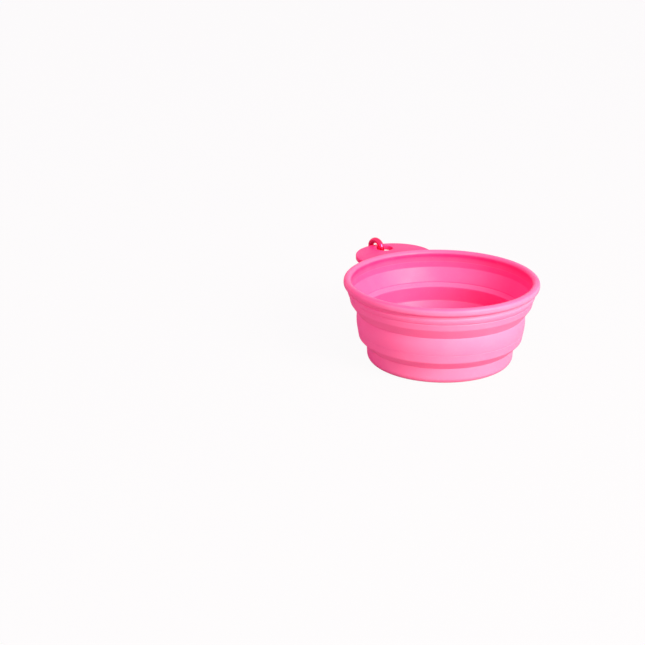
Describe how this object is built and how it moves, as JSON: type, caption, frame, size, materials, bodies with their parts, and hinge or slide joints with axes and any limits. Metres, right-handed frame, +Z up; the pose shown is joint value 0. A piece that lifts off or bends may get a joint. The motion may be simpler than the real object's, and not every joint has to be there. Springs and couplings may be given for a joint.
{
  "type": "collapsible bowl",
  "caption": "Round collapsible silicone bowl with folding rings that let it press flat, a stiff rim ring, a rounded hang tab and a small spring-gate clip hanging from the tab.",
  "frame": {"origin": "centre of the foot, on the plane that the bowl stands on", "axes": "+Z up along the bowl's axis, +X towards the hang tab"},
  "size_m": [0.17, 0.13, 0.0589],
  "materials": {
    "silicone": "satin moulded",
    "rim_plastic": "satin moulded",
    "anodised_aluminium": "glossy anodised",
    "pin_steel": "drawn wire"
  },
  "bodies": {
    "base": {"base_cup": "silicone", "lower_fold": "silicone"},
    "middle": {"middle_band": "silicone", "upper_fold": "silicone"},
    "rim": {"rim_ring": "rim_plastic", "top_band": "silicone"},
    "clip": {"clip_body": "anodised_aluminium"},
    "gate": {"clip_gate": "anodised_aluminium", "gate_rivet": "pin_steel", "latch_pin": "pin_steel", "gate_spring": "pin_steel"},
    "plunger": {"gate_plunger": "pin_steel"}
  },
  "joints": [
    {"name": "lower_collapse", "type": "slide", "parent": "base", "child": "middle", "axis": [0, 0, -1], "range_m": [0, 0.022], "deforming": ["lower_fold"]},
    {"name": "upper_collapse", "type": "slide", "parent": "middle", "child": "rim", "axis": [0, 0, -1], "range_m": [0, 0.022], "deforming": ["upper_fold"]},
    {"name": "clip_swing", "type": "hinge", "parent": "rim", "child": "clip", "pos_m": [0.09405, 0.00258, 0.05155], "axis": [0.309, -0.9511, 0], "range_deg": [-25, 165]},
    {"name": "gate_open", "type": "hinge", "parent": "clip", "child": "gate", "pos_m": [0.09948, 0.00435, 0.05035], "axis": [-0.309, 0.9511, 0], "range_deg": [0, 30], "stiffness_Nm_per_rad": 0.03, "springref_deg": -34.38},
    {"name": "plunger_push", "type": "slide", "parent": "gate", "child": "plunger", "axis": [0.1693, 0.055, -0.984], "range_m": [0, 0.0007], "stiffness_N_per_m": 0.05, "springref_m": -0.02, "deforming": ["gate_spring"]}
  ],
  "couplings": [
    {"joint": "plunger_push", "follows": "gate_open", "m_per_rad": 0.0013}
  ]
}
